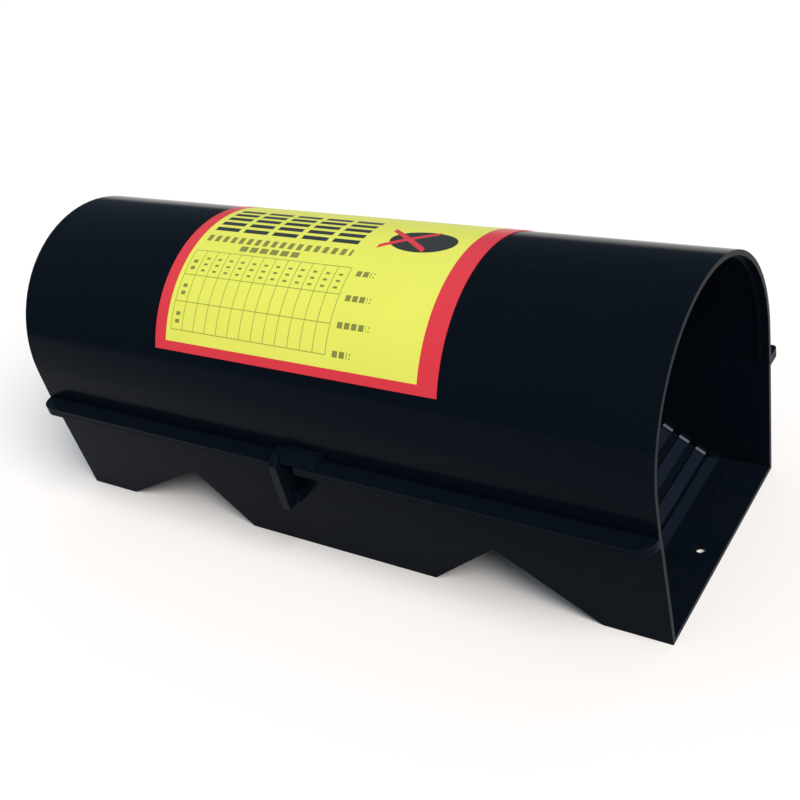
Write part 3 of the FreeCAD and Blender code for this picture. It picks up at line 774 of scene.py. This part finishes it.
def ridge_end(side, foot, run, step, wall_side):
    slope = ramp_slope(run) if step > LEVEL_STEP else 0.0
    along = step * RIDGE_PITCH + RIDGE_FOOT / 2 * math.cos(slope)
    height = WALL_THICK + along * math.tan(slope) + RIDGE_RISE * math.cos(slope)
    corner = Vector((side * (foot - along + RIDGE_RISE * math.sin(slope)),
                     wall_side * (WALL_INSIDE + WALL_LEAN * height), height))
    inward = Vector((0.0, -wall_side, 0.0))
    upward = Vector((side * math.sin(slope), 0.0, math.cos(slope)))
    axes = Matrix((inward.cross(upward), inward, upward)).transposed()
    return Matrix.Translation(corner) @ axes.to_4x4()


fillets = []
for side, foot, run, ridge_count in RAMPS.values():
    for step in range(LEVEL_STEP, ridge_count):
        for wall_side in (-1, 1):
            fillet = bpy.data.objects.new("ridge_end", pattern.data.copy())
            fillet.data.transform(ridge_end(side, foot, run, step, wall_side))
            bpy.context.scene.collection.objects.link(fillet)
            fillets.append(fillet)
bpy.data.objects.remove(pattern)
print(len(fillets), "ridge ends")

# %% The fillets joined and finished
only_select(fillets[0])
for fillet in fillets:
    fillet.select_set(True)
bpy.ops.object.join()
ridge_fillets = bpy.context.object
ridge_fillets.name = "ridge_end_fillets"
ridge_fillets.data.materials.append(burnished_plastic)
only_select(ridge_fillets)
bpy.ops.object.shade_smooth_by_angle(angle=SMOOTH_ANGLE)
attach(ridge_fillets, "base")
print("ridge end fillets with", len(ridge_fillets.data.polygons), "faces")

# %% [markdown]
# ## The label's skin
# Film goes on flat and follows the arch. So the sheet starts as a flat grid, whose own UV map is the flat
# print, and each of its points is then laid at its angle round the arch's axis. A copy of the arch's faces
# would have no such map. Solidify gives the film its thickness, inwards to the plastic.

# %% A sheet laid round the arch
SHEET_COLUMNS = 24
SHEET_ROWS = 50
bpy.ops.object.select_all(action="DESELECT")
bpy.ops.mesh.primitive_grid_add(x_subdivisions=SHEET_COLUMNS, y_subdivisions=SHEET_ROWS, size=1.0)
label_skin = bpy.context.object
label_skin.name = "label_sheet"
label_skin.data.uv_layers.active.name = "Sheet"
sheet_middle = (label_low[0] + label_high[0]) / 2
for point in label_skin.data.vertices:
    angle = LABEL_FOOT + (point.co.y + 0.5) * (LABEL_TOP - LABEL_FOOT)
    point.co = (sheet_middle + point.co.x * LABEL_LENGTH,
                FILM_RADIUS * math.cos(angle), SPRING_HEIGHT + FILM_RADIUS * math.sin(angle))
print("label sheet of", len(label_skin.data.vertices), "points laid round the arch")

# %% The film's thickness and finish
film = label_skin.modifiers.new("Film thickness", "SOLIDIFY")
film.thickness = LABEL_THICK
film.offset = -1.0
apply_modifiers(label_skin)
label_skin.data.materials.append(label_film)
only_select(label_skin)
bpy.ops.object.shade_smooth_by_angle(angle=SMOOTH_ANGLE)
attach(label_skin, "cover")
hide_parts("service_label")
print("label sheet", len(label_skin.data.polygons), "faces")

# %% [markdown]
# ## The floor
# The station stands on a plain pale floor. Its plastic is almost black, so nearly all that shows on it is
# reflection, and the upright walls mirror the floor. A curved backdrop would be mirrored too, so one plane is
# used, wide enough to fill the view from above and set just under the station. It is tinted a little warm,
# to balance the cool air over it.

# %% The floor
FLOOR_SIZE = 8.0
FLOOR_DROP = 0.1 * MM
FLOOR_DEEP = (0.93, 0.87, 0.84, 1.0)
FLOOR_PALE = (0.95, 0.89, 0.86, 1.0)
bpy.ops.mesh.primitive_plane_add(size=FLOOR_SIZE, location=(0.0, 0.0, -FLOOR_DROP))
floor = bpy.context.object
floor.name = "pale_floor"
floor_paint, tree, surface, coordinates = start_material("Pale floor")
tone = noise(tree, coordinates, scale=3.0, detail=3.0)
paint(tree, surface, mix_colour(tree, tone, FLOOR_DEEP, FLOOR_PALE))
surface.inputs["Roughness"].default_value = 0.85
surface.inputs["Specular IOR Level"].default_value = 0.2
floor.data.materials.append(floor_paint)
print("floor", floor.name)

# %% [markdown]
# ## Soft light
# The arch mirrors the air over it, which is darker near the horizon and pale overhead, so its top looks
# brighter than its sides. Lamps near the station would show in the plastic as bright patches. So the main
# light is a wide sun from past the tunnel's right end, which lights the rim and the ramps and gives a soft
# shadow, from a place that the arch doesn't mirror towards the camera.

# %% Air that darkens to the horizon
HORIZON_AIR = (0.20, 0.26, 0.32, 1.0)
OVERHEAD_AIR = (0.70, 0.86, 1.0, 1.0)
OVERHEAD_HEIGHT = 0.75
AIR_STRENGTH = 0.48
studio_air = bpy.data.worlds.new("Studio air")
studio_air.use_nodes = True
air_tree = studio_air.node_tree
air = air_tree.nodes["Background"]
sky = split_axes(air_tree, add_node(air_tree, "ShaderNodeTexCoord").outputs["Generated"])
overhead = fade_between(air_tree, sky["Z"], 0.0, OVERHEAD_HEIGHT)
air_tree.links.new(mix_colour(air_tree, overhead, HORIZON_AIR, OVERHEAD_AIR), air.inputs["Color"])
air.inputs["Strength"].default_value = AIR_STRENGTH
bpy.context.scene.world = studio_air
print("world", studio_air.name)

# %% The wide sun
SUN_PLACE = Vector((1.3, -0.5, 1.6))
SUN_AIM = Vector((0.0, 0.0, 0.05))
SUN_WIDTH = math.radians(40.0)
sun = bpy.data.lights.new("Main light", "SUN")
sun.energy = 3.5
sun.angle = SUN_WIDTH
sun.color = (1.0, 0.985, 0.95)
sun_holder = bpy.data.objects.new("Main light", sun)
bpy.context.scene.collection.objects.link(sun_holder)
sun_holder.location = SUN_PLACE
sun_holder.rotation_mode = "QUATERNION"
sun_holder.rotation_quaternion = (SUN_AIM - SUN_PLACE).to_track_quat("-Z", "Y")
print("sun", round(math.degrees(SUN_WIDTH)), "degrees wide")

# %% [markdown]
# ## The picture
# The pale floor should stay plain and the black should stay deep, so the picture is shown in Blender's
# Standard view, with no film look. The camera looks down on the station from in front and past its right
# end, near enough that the near rim looks larger than the far one. Its turn, height and roll are angles, and
# its matrix is built from the three directions that they give: right, up and backward.

# %% Plain colour, with no film look
bpy.context.scene.view_settings.view_transform = "Standard"
print("view transform", bpy.context.scene.view_settings.view_transform)

# %% The camera
AZIMUTH, ELEVATION, ROLL = (math.radians(angle) for angle in (42.17, 36.83, -15.56))
CAMERA_PLACE = Vector((284.0, -313.6, 319.8)) * MM
SKYWARD = Vector((0.0, 0.0, 1.0))
backward = Vector((math.sin(AZIMUTH) * math.cos(ELEVATION), -math.cos(AZIMUTH) * math.cos(ELEVATION),
                   math.sin(ELEVATION)))
level_right = (-backward).cross(SKYWARD).normalized()
level_up = level_right.cross(-backward)
camera_right = math.cos(ROLL) * level_right + math.sin(ROLL) * level_up
camera_up = -math.sin(ROLL) * level_right + math.cos(ROLL) * level_up
camera_turn = Matrix((camera_right, camera_up, backward)).transposed().to_4x4()
eye = bpy.data.cameras.new("Eye")
eye.sensor_width = 36.0
eye.lens = 51.23
eye.shift_y = 0.0875
eye.clip_start = 0.01
camera = bpy.data.objects.new("Eye", eye)
bpy.context.scene.collection.objects.link(camera)
camera.matrix_world = Matrix.Translation(CAMERA_PLACE) @ camera_turn
bpy.context.scene.camera = camera
print("camera", round(math.degrees(AZIMUTH)), "degrees round and", round(math.degrees(ELEVATION)), "up")
